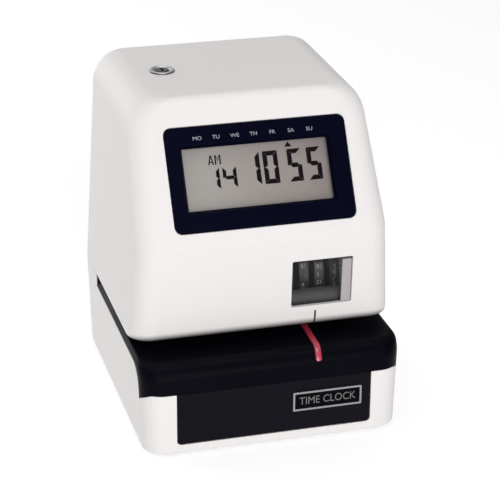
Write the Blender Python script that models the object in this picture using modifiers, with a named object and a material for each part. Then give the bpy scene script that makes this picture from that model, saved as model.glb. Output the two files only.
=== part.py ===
"""Electronic punch time clock: a drafted white head over a black paper table on a white base.

Every size below is in millimetres and the helpers turn it into Blender's metres.
+X is the clock's right as seen from the front, -Y is its front and +Z is up. The origin is
the middle of the footprint at the height of the surface that the clock stands on.
"""
import math

import bmesh
import bpy
from mathutils import Matrix, Vector

MM = 0.001
GAP = 0.3                   # left between pieces that touch

# Outside of the clock
HALF_WIDTH = 75.0           # widest, where head and base meet
FRONT = -78.0               # front face of the base
BACK = 79.1                 # back face of base and head
BASE_BOTTOM = 2.0
BASE_TOP = 58.7             # top of the column behind the throat
SEAM = 59.0                 # lower rim of the head cover
HEAD_TOP = 188.0
FRONT_CORNER = 12.6         # plan radius of the front corners
BACK_CORNER = 4.0
SKIN = 2.5                  # wall thickness of the mouldings
HEAD_DRAFT = -0.060         # change of half-width for each millimetre of height
BASE_DRAFT = 0.030

# Side outline of the head
LIP_Y = -55.4
CREASE_Y, CREASE_Z = -58.6, 116.4
TOP_EDGE_Y = -17.0
SHOULDER = 18.5             # radius between the sides and the top

# Throat, table and front panel
TABLE_TOP = 54.0
TABLE_END = 47.7
NOSE_RADIUS = 10.0
NOSE_BOTTOM = 38.3
NOSE_DIP = 32.4             # the nose's rim falls to this height behind the front corners
CHEEK_FRONT = -64.5         # the white side walls end here and the black nose begins
CHEEK_TOP = 50.2            # the table's edge lies on the white side walls
CHEEK_RADIUS = 12.0
PANEL_HALF = 56.0
PANEL_BOTTOM = 6.9
FLOOR_LOW, FLOOR_HIGH = 59.3, 61.0

# Display, laid on the slanted front: X across, S up the slope, DEPTH behind the surface
SLOPE = math.atan2(TOP_EDGE_Y - CREASE_Y, HEAD_TOP - CREASE_Z)
DISPLAY_X = 1.4             # the display sits a little to the right of the middle
BEZEL_HALF = 51.6
BEZEL_LOW, BEZEL_HIGH = 7.3, 66.0
SCREEN_HALF = 41.0
SCREEN_LOW, SCREEN_HIGH = 19.5, 54.0

# Window in the lower front
WINDOW_LEFT, WINDOW_RIGHT = 15.2, 50.2
WINDOW_LOW, WINDOW_HIGH = 72.4, 100.8
WINDOW_SPLIT = 43.0

# Print unit
WHEEL_Y, WHEEL_Z, WHEEL_RADIUS = -18.0, 79.0, 18.0
SHAFT_RADIUS = 2.5
SPOOL_Z, SPOOL_RADIUS = 72.0, 6.5
SPOOL_FRONT_Y, SPOOL_REAR_Y = -43.5, 7.5
UNIT_LEFT, UNIT_RIGHT = 9.0, 56.0
PLATE = 1.2                 # sheet steel
MODULE = 0.8
GEAR_TEETH, PINION_TEETH = 45, 15
PINION_Z = WHEEL_Z + MODULE * (GEAR_TEETH + PINION_TEETH) / 2 + 0.2

# Hammer under the table
HAMMER_X = 32.0
HAMMER_Y, HAMMER_Z = 24.0, 42.0
SOLENOID_Y = 2.0

# Key lock in the top
LOCK_X, LOCK_Y = -37.5, 29.0


# ---------------------------------------------------------------- helpers

def clear_scene():
    for item in list(bpy.data.objects):
        bpy.data.objects.remove(item, do_unlink=True)


def make_collection(name):
    collection = bpy.data.collections.new(name)
    bpy.context.scene.collection.children.link(collection)
    return collection


def make_look(name, colour, roughness, metallic=0.0, alpha=1.0):
    look = bpy.data.materials.new(name)
    look.use_nodes = True
    shader = look.node_tree.nodes["Principled BSDF"]
    shader.inputs["Base Color"].default_value = (*colour, 1.0)
    shader.inputs["Roughness"].default_value = roughness
    shader.inputs["Metallic"].default_value = metallic
    shader.inputs["Alpha"].default_value = alpha
    look.diffuse_color = (*colour, alpha)
    return look


def add_object(name, mesh, look):
    """Put a mesh in the parts collection, or among the cutters when it has no look."""
    item = bpy.data.objects.new(name, mesh)
    if look is None:
        CUTTERS.objects.link(item)
        item.hide_render = True
        item.display_type = "WIRE"
    else:
        PARTS.objects.link(item)
        mesh.materials.append(look)
    return item


def mesh_from(name, bm):
    mesh = bpy.data.meshes.new(name)
    bm.to_mesh(mesh)
    bm.free()
    return mesh


def box(name, low, high, look=None):
    size = [b - a for a, b in zip(low, high)]
    middle = [(a + b) / 2 for a, b in zip(low, high)]
    bm = bmesh.new()
    bmesh.ops.create_cube(bm, size=1.0)
    bmesh.ops.scale(bm, vec=Vector(size) * MM, verts=bm.verts)
    bmesh.ops.translate(bm, vec=Vector(middle) * MM, verts=bm.verts)
    return add_object(name, mesh_from(name, bm), look)


def rod(name, start, end, radius, look=None, sides=24, end_radius=None):
    """A cylinder, or a cone with end_radius, from start to end."""
    start, end = Vector(start) * MM, Vector(end) * MM
    along = end - start
    turn = along.to_track_quat("Z", "Y").to_matrix().to_4x4()
    bm = bmesh.new()
    bmesh.ops.create_cone(
        bm, cap_ends=True, segments=sides, radius1=radius * MM,
        radius2=(radius if end_radius is None else end_radius) * MM, depth=along.length,
        matrix=Matrix.Translation((start + end) / 2) @ turn)
    item = add_object(name, mesh_from(name, bm), look)
    item.data.shade_smooth()
    item.data.set_sharp_from_angle(angle=math.radians(40))
    return item


def turned(name, profile, centre, direction, look=None, sides=24):
    """A turned piece: (radius, height) points run down the outer side, from top to bottom."""
    mesh = bpy.data.meshes.new(name)
    points = [(radius * MM, 0.0, height * MM) for radius, height in profile]
    mesh.from_pydata(points, [(i, i + 1) for i in range(len(points) - 1)], [])
    item = add_object(name, mesh, look)
    item.location = Vector(centre) * MM
    item.rotation_euler = Vector(direction).to_track_quat("Z", "Y").to_euler()
    screw = item.modifiers.new("turn", "SCREW")
    screw.axis = "Z"
    screw.steps = sides
    screw.render_steps = sides
    screw.use_merge_vertices = True
    screw.merge_threshold = 0.00005
    screw.use_smooth_shade = False
    return item


def rounded(corners, steps=5):
    """Outline points of a polygon whose (u, v, radius) corners are rounded."""
    points = []
    count = len(corners)
    for i, (u, v, radius) in enumerate(corners):
        here = Vector((u, v))
        if radius <= 0:
            points.append(here)
            continue
        back = (Vector(corners[i - 1][:2]) - here).normalized()
        ahead = (Vector(corners[(i + 1) % count][:2]) - here).normalized()
        half = back.angle(ahead) / 2
        centre = here + (back + ahead).normalized() * radius / math.sin(half)
        first = here + back * radius / math.tan(half) - centre
        last = here + ahead * radius / math.tan(half) - centre
        sweep = math.atan2(first.x * last.y - first.y * last.x, first.dot(last))
        for step in range(steps + 1):
            angle = sweep * step / steps
            points.append(centre + Matrix.Rotation(angle, 2) @ first)
    return points


AXES = {
    "X": Matrix(((0, 0, 1, 0), (1, 0, 0, 0), (0, 1, 0, 0), (0, 0, 0, 1))),   # (y, z) outline
    "Y": Matrix(((1, 0, 0, 0), (0, 0, -1, 0), (0, 1, 0, 0), (0, 0, 0, 1))),  # (x, z) outline
    "Z": Matrix.Identity(4),                                                # (x, y) outline
}


def prism(name, outline, axis, low, high, look=None):
    """A flat outline drawn as a filled 2D curve and extruded along an axis from low to high."""
    curve = bpy.data.curves.new(name, "CURVE")
    curve.dimensions = "2D"
    curve.fill_mode = "BOTH"
    curve.extrude = (high - low) / 2 * MM
    spline = curve.splines.new("POLY")
    spline.points.add(len(outline) - 1)
    for point, place in zip(spline.points, outline):
        point.co = (place[0] * MM, place[1] * MM, 0.0, 1.0)
    spline.use_cyclic_u = True
    holder = bpy.data.objects.new(name + "_outline", curve)
    CUTTERS.objects.link(holder)
    bpy.context.view_layer.update()
    evaluated = holder.evaluated_get(bpy.context.evaluated_depsgraph_get())
    mesh = bpy.data.meshes.new_from_object(evaluated)
    bpy.data.objects.remove(holder, do_unlink=True)
    bm = bmesh.new()
    bm.from_mesh(mesh)
    bmesh.ops.remove_doubles(bm, verts=bm.verts, dist=0.000005)
    middle = (low + high) / 2 * MM
    along = AXES[axis] @ Vector((0, 0, -middle if axis == "Y" else middle))
    bmesh.ops.transform(bm, matrix=Matrix.Translation(along) @ AXES[axis], verts=bm.verts)
    bmesh.ops.recalc_face_normals(bm, faces=bm.faces)
    bm.to_mesh(mesh)
    bm.free()
    mesh.name = name
    return add_object(name, mesh, look)


def apply_tool(target, tool, operation):
    step = target.modifiers.new(tool.name, "BOOLEAN")
    step.object = tool
    step.operation = operation
    step.solver = "EXACT"
    return target


def cut(target, *tools):
    for tool in tools:
        apply_tool(target, tool, "DIFFERENCE")
    return target


def join(target, *tools):
    for tool in tools:
        apply_tool(target, tool, "UNION")
    return target


def keep(target, *tools):
    for tool in tools:
        apply_tool(target, tool, "INTERSECT")
    return target


def pivot(name, place, *items):
    """An empty on a joint's axis that carries the pieces of a moving body."""
    empty = bpy.data.objects.new(name, None)
    empty.location = Vector(place) * MM
    PARTS.objects.link(empty)
    for item in items:
        item.parent = empty
        item.matrix_parent_inverse = Matrix.Translation(-empty.location)
    return empty


def tilted(item):
    """Lay a piece drawn as X, slope and depth onto the slanted front of the head."""
    origin = Matrix.Translation(Vector((DISPLAY_X, CREASE_Y, CREASE_Z)) * MM)
    item.data.transform(origin @ Matrix.Rotation(-SLOPE, 4, "X"))
    return item


# ---------------------------------------------------------------- white mouldings

def drafted_plan(name, inset, low, high, draft, look=None):
    """Upright prism on the rounded footprint; its sides lean, and are full width at the seam."""
    half = HALF_WIDTH - inset
    front, back = FRONT + inset, BACK - inset
    corner, rear = FRONT_CORNER - inset, BACK_CORNER - inset
    outline = rounded([(-half, front, corner), (half, front, corner),
                       (half, back, rear), (-half, back, rear)], steps=6)
    item = prism(name, outline, "Z", low, high, look)
    for vertex in item.data.vertices:
        side = vertex.co.x / (half * MM)
        vertex.co.x += side * draft * (vertex.co.z - SEAM * MM)
    return item


def head_form(name, inset, bottom, look=None):
    """The head's solid form, shrunk by inset: footprint, side outline and front outline meet."""
    plan = drafted_plan(name, inset, bottom, HEAD_TOP + 5, HEAD_DRAFT, look)
    shift = CREASE_Y - LIP_Y
    for vertex in plan.data.vertices:
        if vertex.co.y < 0:
            vertex.co.y -= (FRONT - CREASE_Y) * MM
    slope_back = inset / math.cos(SLOPE)
    lean = shift / (CREASE_Z - SEAM)
    lip_y = LIP_Y + lean * (bottom - SEAM) + inset
    crease_z = CREASE_Z - inset * math.tan(SLOPE / 2)
    top = HEAD_TOP - inset
    crease_y = CREASE_Y + inset
    top_y = CREASE_Y + slope_back + math.tan(SLOPE) * (top - CREASE_Z)
    side = prism(name + "_side", rounded([
        (lip_y, bottom, 0 if inset else 4.0), (crease_y, crease_z, 12.0), (top_y, top, 5.0),
        (BACK - inset, top, 2.0), (BACK - inset, bottom, 0)], steps=4), "X", -90, 90)
    half_low = HALF_WIDTH - inset + HEAD_DRAFT * (bottom - 5 - SEAM) + 0.2
    half_top = HALF_WIDTH - inset + HEAD_DRAFT * (top - SEAM) + 0.2
    face = prism(name + "_face", rounded([
        (-half_low, bottom - 5, 0), (half_low, bottom - 5, 0),
        (half_top, top, SHOULDER - inset), (-half_top, top, SHOULDER - inset)], steps=8),
        "Y", -100, 100)
    return keep(plan, side, face)


def build_head_cover():
    cover = head_form("head_cover", 0.0, SEAM, WHITE)
    hollow = head_form("head_hollow", SKIN, SEAM - 10)
    display = tilted(box("bezel_hole", (-BEZEL_HALF - GAP, -SKIN * 2, BEZEL_LOW - GAP),
                         (BEZEL_HALF + GAP, SKIN * 4, BEZEL_HIGH + GAP)))
    window = box("window_hole", (WINDOW_LEFT, -70, WINDOW_LOW), (WINDOW_RIGHT, -45, WINDOW_HIGH))
    keyhole = rod("lock_hole", (LOCK_X, LOCK_Y, 170), (LOCK_X, LOCK_Y, 200), 6.6, sides=32)
    return cut(cover, hollow, display, window, keyhole)


def build_base_case():
    case = drafted_plan("base_case", 0.0, BASE_BOTTOM, BASE_TOP, BASE_DRAFT, WHITE)
    side = prism("base_side", rounded([
        (FRONT - 5, BASE_BOTTOM - 5, 0), (BACK + 5, BASE_BOTTOM - 5, 0), (BACK + 5, 70, 0),
        (TABLE_END + GAP, 70, 0), (TABLE_END + GAP, CHEEK_TOP, 0),
        (CHEEK_FRONT, CHEEK_TOP, CHEEK_RADIUS), (CHEEK_FRONT, NOSE_DIP - 2 * GAP, 0),
        (FRONT + SKIN, NOSE_BOTTOM - GAP, 0), (FRONT - 5, NOSE_BOTTOM - GAP, 0)], steps=6),
        "X", -90, 90)
    hollow = drafted_plan("base_hollow", SKIN, -10, 80, BASE_DRAFT)
    front = box("panel_hole", (-PANEL_HALF, -90, PANEL_BOTTOM), (PANEL_HALF, -70, 60))
    inlet = box("inlet_hole", (28.7, 70, 13.7), (56.3, 90, 34.3))
    return cut(keep(case, side), hollow, front, inlet)


# ---------------------------------------------------------------- table and front

def build_table():
    table = drafted_plan("table", 0.0, NOSE_DIP - 1, 70, BASE_DRAFT, BLACK)
    outer = prism("table_side", rounded([
        (FRONT, NOSE_BOTTOM, 0), (FRONT + SKIN, NOSE_BOTTOM, 0), (CHEEK_FRONT - GAP, NOSE_DIP, 0),
        (TABLE_END, NOSE_DIP, 0), (TABLE_END, TABLE_TOP, 0),
        (FRONT, TABLE_TOP, NOSE_RADIUS)], steps=6), "X", -90, 90)
    plan = drafted_plan("table_plan", SKIN, -10, 80, BASE_DRAFT)
    inner = keep(plan, prism("table_inner", rounded([
        (FRONT + SKIN, 0, 0), (90, 0, 0), (90, TABLE_TOP - SKIN, 0),
        (FRONT + SKIN, TABLE_TOP - SKIN, NOSE_RADIUS - SKIN)], steps=6), "X", -80, 80))
    walls = prism("cheek_room", rounded([
        (CHEEK_FRONT - GAP, 0, 0), (90, 0, 0), (90, CHEEK_TOP + GAP, 0),
        (CHEEK_FRONT - GAP, CHEEK_TOP + GAP, CHEEK_RADIUS)], steps=6), "X", -90, 90)
    hammer = box("hammer_hole", (13, -28, 40), (51, -7, 70))
    stop = box("throat_end", (-74.6, TABLE_END - 2, TABLE_TOP - 1.5), (74.6, TABLE_END, BASE_TOP))
    return join(cut(keep(table, outer), inner, walls, hammer), stop)


def build_front():
    box("front_panel", (-PANEL_HALF + GAP, FRONT, PANEL_BOTTOM + GAP),
        (PANEL_HALF - GAP, FRONT + SKIN, NOSE_BOTTOM - GAP), BLACK)
    plate = box("name_plate", (10.2, -79.1, 19.4), (50.2, FRONT - GAP, 31.0), SILVER)
    cut(plate, box("plate_field", (11.4, -90, 20.6), (49.0, -78.8, 29.8)))


def guide_path():
    """Middle line of the red guide: along the table, over the nose and down its front."""
    lift = GAP + 0.4
    radius = NOSE_RADIUS + lift
    centre_y, centre_z = FRONT + NOSE_RADIUS, TABLE_TOP - NOSE_RADIUS
    path = [(-30.0, TABLE_TOP + lift), (-44.0, TABLE_TOP + lift), (-58.0, TABLE_TOP + lift)]
    for step in range(7):
        angle = math.radians(90 + 90 * step / 6)
        path.append((centre_y + radius * math.cos(angle), centre_z + radius * math.sin(angle)))
    return path


def build_guide_strip():
    """Flat strip laid on the table, drifting a little to the left towards the nose."""
    half_width, half_thick = 1.45, 0.4
    path = guide_path()
    rings = []
    for i, (y, z) in enumerate(path):
        before, after = path[max(i - 1, 0)], path[min(i + 1, len(path) - 1)]
        along = Vector((after[0] - before[0], after[1] - before[1])).normalized()
        out = Vector((along.y, -along.x)) if i else Vector((0, 1))
        x = 27.0 - 1.6 * (i / (len(path) - 1)) ** 3
        rings.append([Vector((x + sx * half_width, y + sz * out.x * half_thick,
                              z + sz * out.y * half_thick)) * MM
                      for sx, sz in ((-1, -1), (1, -1), (1, 1), (-1, 1))])
    bm = bmesh.new()
    loops = [[bm.verts.new(p) for p in ring] for ring in rings]
    for a, b in zip(loops, loops[1:]):
        for k in range(4):
            bm.faces.new((a[k], a[(k + 1) % 4], b[(k + 1) % 4], b[k]))
    bm.faces.new(loops[0])
    bm.faces.new(loops[-1])
    bmesh.ops.recalc_face_normals(bm, faces=bm.faces)
    add_object("guide_strip", mesh_from("guide_strip", bm), RED)


def build_paper_stop():
    stop = box("paper_stop", (-30, 36, TABLE_TOP + GAP), (60, 42, TABLE_TOP + 1.3), BLACK_MATT)
    join(stop, box("stop_wall", (-30, 40.5, TABLE_TOP + 0.8), (60, 42, BASE_TOP - 0.4)))
    pivot("paper_stop_slide", (15, 39, TABLE_TOP), stop)


# ---------------------------------------------------------------- underside

def build_underside():
    half = HALF_WIDTH - SKIN - BASE_DRAFT * (SEAM - BASE_BOTTOM) - GAP * 2
    outline = rounded([(-half, -74.8, 9), (half, -74.8, 9), (half, 76.2, 3), (-half, 76.2, 3)],
                      steps=4)
    plate = prism("bottom_plate", outline, "Z", 2.3, 3.5, STEEL)
    for side, x in (("left", -58), ("right", 58)):
        for end, y in (("front", -60), ("rear", 60)):
            rod("foot_%s_%s" % (end, side), (x, y, 0), (x, y, 2), 8, RUBBER, sides=24,
                end_radius=9)
    for side, x in (("left", -40), ("right", 40)):
        for end, y in (("front", -66), ("rear", 57)):
            cut(plate, rod("screw_hole", (x, y, 0), (x, y, 6), 1.9, sides=12))
            screw = rod("case_screw_%s_%s" % (end, side), (x, y, 0.6), (x, y, 2.0), 3.2, STEEL,
                        sides=16)
            join(screw, rod("screw_shank", (x, y, 1.5), (x, y, 9), 1.5, sides=12))


def build_power():
    core = box("transformer_core", (-60, 4, 5), (-16, 28, 43), STEEL_DARK)
    cut(core, box("core_window_left", (-52, 0, 12), (-44, 32, 36)),
        box("core_window_right", (-32, 0, 12), (-24, 32, 36)))
    coil = box("transformer_coil", (-51.6, -2, 12.4), (-24.4, 34, 35.6), AMBER)
    cut(coil, box("coil_leg", (-44.4, 3.6, 0), (-31.6, 28.4, 50)))
    body = box("power_inlet", (29, 62, 14), (56, BACK - 0.2, 34), BLACK_MATT)
    cut(body, box("inlet_socket", (31.5, 65, 16.5), (53.5, 90, 31.5)))
    for name, x, z in (("earth", 42.5, 27.2), ("live", 37.5, 22.5), ("neutral", 47.5, 22.5)):
        join(body, box("blade_" + name, (x - 1, 64, z - 2), (x + 1, 74, z + 2)))


# ---------------------------------------------------------------- hammer

def build_hammer():
    x, y, z = HAMMER_X, HAMMER_Y, HAMMER_Z
    bracket = box("hammer_bracket", (x - 7.5, y - 9, 3.8), (x + 7.5, y + 9, 5.0), STEEL)
    for side in (-1, 1):
        inner, outer = x + side * 6.0, x + side * 7.5
        ear = prism("bracket_ear", rounded([(y - 8, 4.4, 0), (y + 8, 4.4, 0), (y + 5, z + 5, 5),
                                            (y - 5, z + 5, 5)], steps=4),
                    "X", min(inner, outer), max(inner, outer))
        join(bracket, ear)
    cut(bracket, rod("pin_bore", (x - 20, y, z), (x + 20, y, z), 2.3, sides=20))
    rod("hammer_pin", (x - 9, y, z), (x + 9, y, z), 2.0, STEEL, sides=20)

    arm = prism("hammer_lever", rounded([
        (-25, 38, 2), (y + 6, 38, 4), (y + 6, 46, 4), (-25, 46, 2)], steps=3),
        "X", x - 4, x + 4, STEEL_DARK)
    head = box("hammer_head", (x - 16, -24, 44), (x + 16, -12, 49.5))
    join(arm, head)
    cut(arm, rod("lever_bore", (x - 20, y, z), (x + 20, y, z), 2.3, sides=20))
    pad = box("platen_pad", (x - 16, -24, 49.8), (x + 16, -12, 53.0), RUBBER)
    pivot("hammer_axis", (x, y, z), arm, pad)

    coil = box("solenoid_body", (x - 10, SOLENOID_Y - 10, 4), (x + 10, SOLENOID_Y + 10, 30),
               AMBER)
    cut(coil, rod("solenoid_bore", (x, SOLENOID_Y, 6), (x, SOLENOID_Y, 40), 4.0, sides=20))
    plunger = turned("solenoid_plunger", [(0, 37.2), (1.5, 37.2), (1.5, 33.5), (3.6, 33.0),
                                          (3.6, 9), (0, 9)], (x, SOLENOID_Y, 0), (0, 0, 1),
                     STEEL, sides=20)
    pivot("plunger_axis", (x, SOLENOID_Y, 20), plunger)


# ---------------------------------------------------------------- chassis and boards

def build_chassis():
    frame = box("chassis_frame", (-60, 66, 4), (60, 66 + PLATE, 172), STEEL)
    for side in (-1, 1):
        inner, outer = side * (60 - PLATE), side * 60
        join(frame, box("frame_flange", (min(inner, outer), 50, 4),
                        (max(inner, outer), 66 + PLATE / 2, 172)))
    cut(frame, box("inlet_clearance", (27, 60, -5), (58, 80, 36)))
    half, front, back = 71.5, -49.8, 49.3
    outline = rounded([(-half, front, 13), (half, front, 13), (half, back, 0), (-half, back, 0)],
                      steps=5)
    floor = prism("head_floor", outline, "Z", FLOOR_LOW, FLOOR_HIGH, BLACK_MATT)
    cut(floor, box("print_hole", (13, -36, 50), (54.3, 0, 70)),
        box("lever_hole", (-5, -2, 50), (5, 16, 70)))


def build_display_bracket():
    bracket = tilted(box("display_bracket", (-50, 12.0, 0.5), (50, 12.0 + PLATE, 68.0), STEEL))
    top = box("bracket_top", (-50, -14, 168), (50, 65.7, 168 + PLATE))
    tab = box("catch_post", (-60, 24, 168), (-49, 34, 168 + PLATE))
    riser = box("catch_riser", (-60, 24, 168.5), (-60 + PLATE, 34, 177.2))
    hook = box("catch_hook", (-59.5, 24, 177.2 - PLATE), (-50, 34, 177.2))
    join(bracket, top, tab, riser, hook)


def build_boards():
    tilted(box("display_board", (-50, 9.0, 2), (50, 10.6, 64), BOARD))
    tilted(box("lcd_glass", (-44, 6.0, 15), (44, 8.6, 58.5), LCD_GREY))
    box("main_board", (-54, 60, 66), (54, 61.6, 162), BOARD)
    box("switch_board", (-2, 18, 169.8), (46, 44, 171.4), BOARD)
    for index in range(3):
        x = 6 + 16 * index
        button = turned("set_button_%d" % (index + 1), [(0, 5), (2.6, 5), (3, 4.6), (3, 0), (0, 0)],
                        (x, 31, 172.6), (0, 0, 1), BUTTON_GREY, sides=20)
        pivot("button_axis_%d" % (index + 1), (x, 31, 172.6), button)
    pack = rounded([(15, 62.2, 7), (32, 62.2, 7), (32, 78, 7), (15, 78, 7)], steps=4)
    prism("backup_battery", pack, "X", -55, -8, SLEEVE)


# ---------------------------------------------------------------- print unit

def gear_outline(teeth, turn, centre_y, centre_z):
    """Trapezoid teeth with room to run; turn is the angle of the first tooth."""
    pitch_radius = MODULE * teeth / 2
    root, tip = pitch_radius - 1.0, pitch_radius + 0.6
    pitch = 2 * math.pi / teeth
    points = []
    for tooth in range(teeth):
        middle = turn + pitch * tooth
        for radius, share in ((root, -0.24), (tip, -0.10), (tip, 0.10), (root, 0.24)):
            angle = middle + pitch * share
            points.append((centre_y + radius * math.cos(angle),
                           centre_z + radius * math.sin(angle)))
    return points


def build_print_frame():
    side = rounded([(-50, 61.8, 0), (14, 61.8, 0), (14, 116, 6), (-30, 116, 4), (-50, 98, 4)],
                   steps=4)
    for name, low in (("print_side_left", UNIT_LEFT), ("print_side_right", UNIT_RIGHT - PLATE)):
        plate = prism(name, side, "X", low, low + PLATE, STEEL)
        for y, z, radius in ((WHEEL_Y, WHEEL_Z, SHAFT_RADIUS), (SPOOL_FRONT_Y, SPOOL_Z, 1.5),
                             (SPOOL_REAR_Y, SPOOL_Z, 1.5)):
            cut(plate, rod("side_bore", (low - 5, y, z), (low + 5, y, z), radius + GAP, sides=20))
        if name == "print_side_right":
            cut(plate, rod("motor_bore", (low - 5, WHEEL_Y, PINION_Z), (low + 5, WHEEL_Y, PINION_Z),
                           2.3, sides=20))
        else:
            cut(plate, rod("lever_pin_bore", (low - 5, 5, 67), (low + 5, 5, 67), 1.8, sides=16))
    rod("wheel_shaft", (UNIT_LEFT - 2, WHEEL_Y, WHEEL_Z), (UNIT_RIGHT + 2, WHEEL_Y, WHEEL_Z),
        SHAFT_RADIUS, STEEL, sides=24)


def build_wheels():
    """Four type wheels on one shaft, one flat for each character."""
    for name, low, faces in (("month", 17.0, 12), ("day", 26.0, 31), ("hour", 35.0, 24),
                             ("minute", 44.0, 60)):
        sides = faces * 2 if faces < 20 else faces
        wheel = rod("type_wheel_" + name, (low, WHEEL_Y, WHEEL_Z), (low + 5.6, WHEEL_Y, WHEEL_Z),
                    WHEEL_RADIUS, BRASS, sides=sides)
        cut(wheel, rod("wheel_bore", (low - 5, WHEEL_Y, WHEEL_Z), (low + 12, WHEEL_Y, WHEEL_Z),
                       SHAFT_RADIUS + GAP, sides=24))
        parts = [wheel]
        if name == "minute":
            gear = prism("minute_gear",
                         gear_outline(GEAR_TEETH, math.pi / 2, WHEEL_Y, WHEEL_Z), "X",
                         low + 5.9, low + 9.4, NYLON)
            cut(gear, rod("gear_bore", (40, WHEEL_Y, WHEEL_Z), (60, WHEEL_Y, WHEEL_Z),
                          SHAFT_RADIUS + GAP, sides=24))
            parts.append(gear)
        pivot(name + "_wheel_axis", (low, WHEEL_Y, WHEEL_Z), *parts)


def build_motor():
    half_tooth = math.pi / PINION_TEETH
    pinion = prism("motor_pinion",
                   gear_outline(PINION_TEETH, -math.pi / 2 + half_tooth, WHEEL_Y, PINION_Z), "X",
                   49.9, 53.4, BRASS)
    join(pinion, rod("pinion_shaft", (50.5, WHEEL_Y, PINION_Z), (62, WHEEL_Y, PINION_Z), 2.0,
                     sides=16))
    pivot("pinion_axis", (52, WHEEL_Y, PINION_Z), pinion)
    motor = rod("stepper_motor", (56.4, WHEEL_Y, PINION_Z), (66.4, WHEEL_Y, PINION_Z), 12, STEEL,
                sides=32)
    cut(motor, rod("motor_hole", (50, WHEEL_Y, PINION_Z), (63, WHEEL_Y, PINION_Z), 2.3, sides=20))


def build_ribbon():
    flange, wound, stub = SPOOL_RADIUS, 4.8, 1.5
    half = (UNIT_RIGHT - UNIT_LEFT) / 2 - PLATE - 1.3
    middle = (UNIT_LEFT + UNIT_RIGHT) / 2
    ends = half + PLATE + 2.0
    profile = [(0, ends), (stub, ends), (stub, half), (flange, half), (flange, half - 1),
               (wound, half - 1), (wound, 1 - half), (flange, 1 - half), (flange, -half),
               (stub, -half), (stub, -ends), (0, -ends)]
    for name, y in (("front", SPOOL_FRONT_Y), ("rear", SPOOL_REAR_Y)):
        spool = turned("ribbon_spool_" + name, profile, (middle, y, SPOOL_Z), (1, 0, 0),
                       BLACK_MATT, sides=24)
        pivot("spool_axis_" + name, (middle, y, SPOOL_Z), spool)
    low, thick = 60.2, 0.4
    reach = SPOOL_Z - wound - GAP - thick
    prism("ink_ribbon", [
        (SPOOL_FRONT_Y, reach), (-30, low), (-6, low), (SPOOL_REAR_Y, reach),
        (SPOOL_REAR_Y, reach + thick), (-6.1, low + thick), (-29.9, low + thick),
        (SPOOL_FRONT_Y, reach + thick)], "X", 15.5, 49.5, RIBBON)


def build_card_lever():
    x_half = 3.0
    lever = prism("card_lever", rounded([(1.5, 71, 3), (1.5, 64, 0), (3.8, 55.6, 1.0),
                                         (6.2, 55.6, 1.0), (8.5, 64, 0), (8.5, 71, 3)], steps=4),
                  "X", -x_half, x_half, NYLON)
    cut(lever, rod("lever_pivot_bore", (-10, 5, 67), (10, 5, 67), 1.8, sides=16))
    pivot("card_lever_axis", (0, 5, 67), lever)
    rod("card_lever_pin", (-5, 5, 67), (UNIT_LEFT + PLATE + 1, 5, 67), 1.5, STEEL, sides=16)


# ---------------------------------------------------------------- display, window and lock

def build_display():
    bezel = tilted(box("display_bezel", (-BEZEL_HALF, -GAP, BEZEL_LOW),
                       (BEZEL_HALF, SKIN, BEZEL_HIGH), GLOSS_BLACK))
    cut(bezel, tilted(box("screen_hole", (-SCREEN_HALF, -5, SCREEN_LOW),
                          (SCREEN_HALF, 5, SCREEN_HIGH))))
    tilted(box("display_lens", (-SCREEN_HALF - 4, SKIN + GAP, SCREEN_LOW - 4),
               (SCREEN_HALF + 4, SKIN + GAP + 1.2, SCREEN_HIGH + 4), CLEAR))
    lean = (CREASE_Y - LIP_Y) / (CREASE_Z - SEAM)

    def front_y(z):
        return LIP_Y + lean * (z - SEAM)

    low, high = WINDOW_LOW + GAP, WINDOW_HIGH - GAP
    for name, left, right, near, far, look in (
            ("window_pane", WINDOW_LEFT + GAP, WINDOW_SPLIT - GAP / 2, 1.6, 2.8, SMOKE),
            ("window_strip", WINDOW_SPLIT + GAP / 2, WINDOW_RIGHT - GAP, 1.0, 2.8, LIGHT_GREY)):
        prism(name, [(front_y(low) + near, low), (front_y(low) + far, low),
                     (front_y(high) + far, high), (front_y(high) + near, high)],
              "X", left, right, look)


def build_lock():
    turned("lock_barrel", [(4.3, 189.1), (7.2, 189.1), (7.8, 188.3), (6.2, 188.3),
                           (6.2, 178), (4.3, 178), (4.3, 189.1)], (LOCK_X, LOCK_Y, 0),
           (0, 0, 1), CHROME, sides=32)
    core = turned("lock_core", [(0, 188.9), (4.0, 188.9), (4.0, 176), (1.6, 176), (1.6, 172.5),
                                (0, 172.5)], (LOCK_X, LOCK_Y, 0), (0, 0, 1), CHROME, sides=24)
    cut(core, box("key_slot", (LOCK_X - 0.6, LOCK_Y - 2.8, 184),
                  (LOCK_X + 0.6, LOCK_Y + 2.8, 195)))
    cam = prism("lock_cam", rounded([(LOCK_X - 4.5, LOCK_Y - 5, 4), (LOCK_X + 4.5, LOCK_Y - 5, 4),
                                     (LOCK_X + 4, LOCK_Y + 18, 3), (LOCK_X - 4, LOCK_Y + 18, 3)],
                                    steps=4), "Z", 173.6, 175.0, STEEL)
    cut(cam, rod("cam_bore", (LOCK_X, LOCK_Y, 170), (LOCK_X, LOCK_Y, 180), 1.9, sides=16))
    pivot("lock_axis", (LOCK_X, LOCK_Y, 180), core, cam)


# ---------------------------------------------------------------- assembly

clear_scene()
PARTS = make_collection("punch_time_clock")
CUTTERS = make_collection("cutters")

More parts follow.
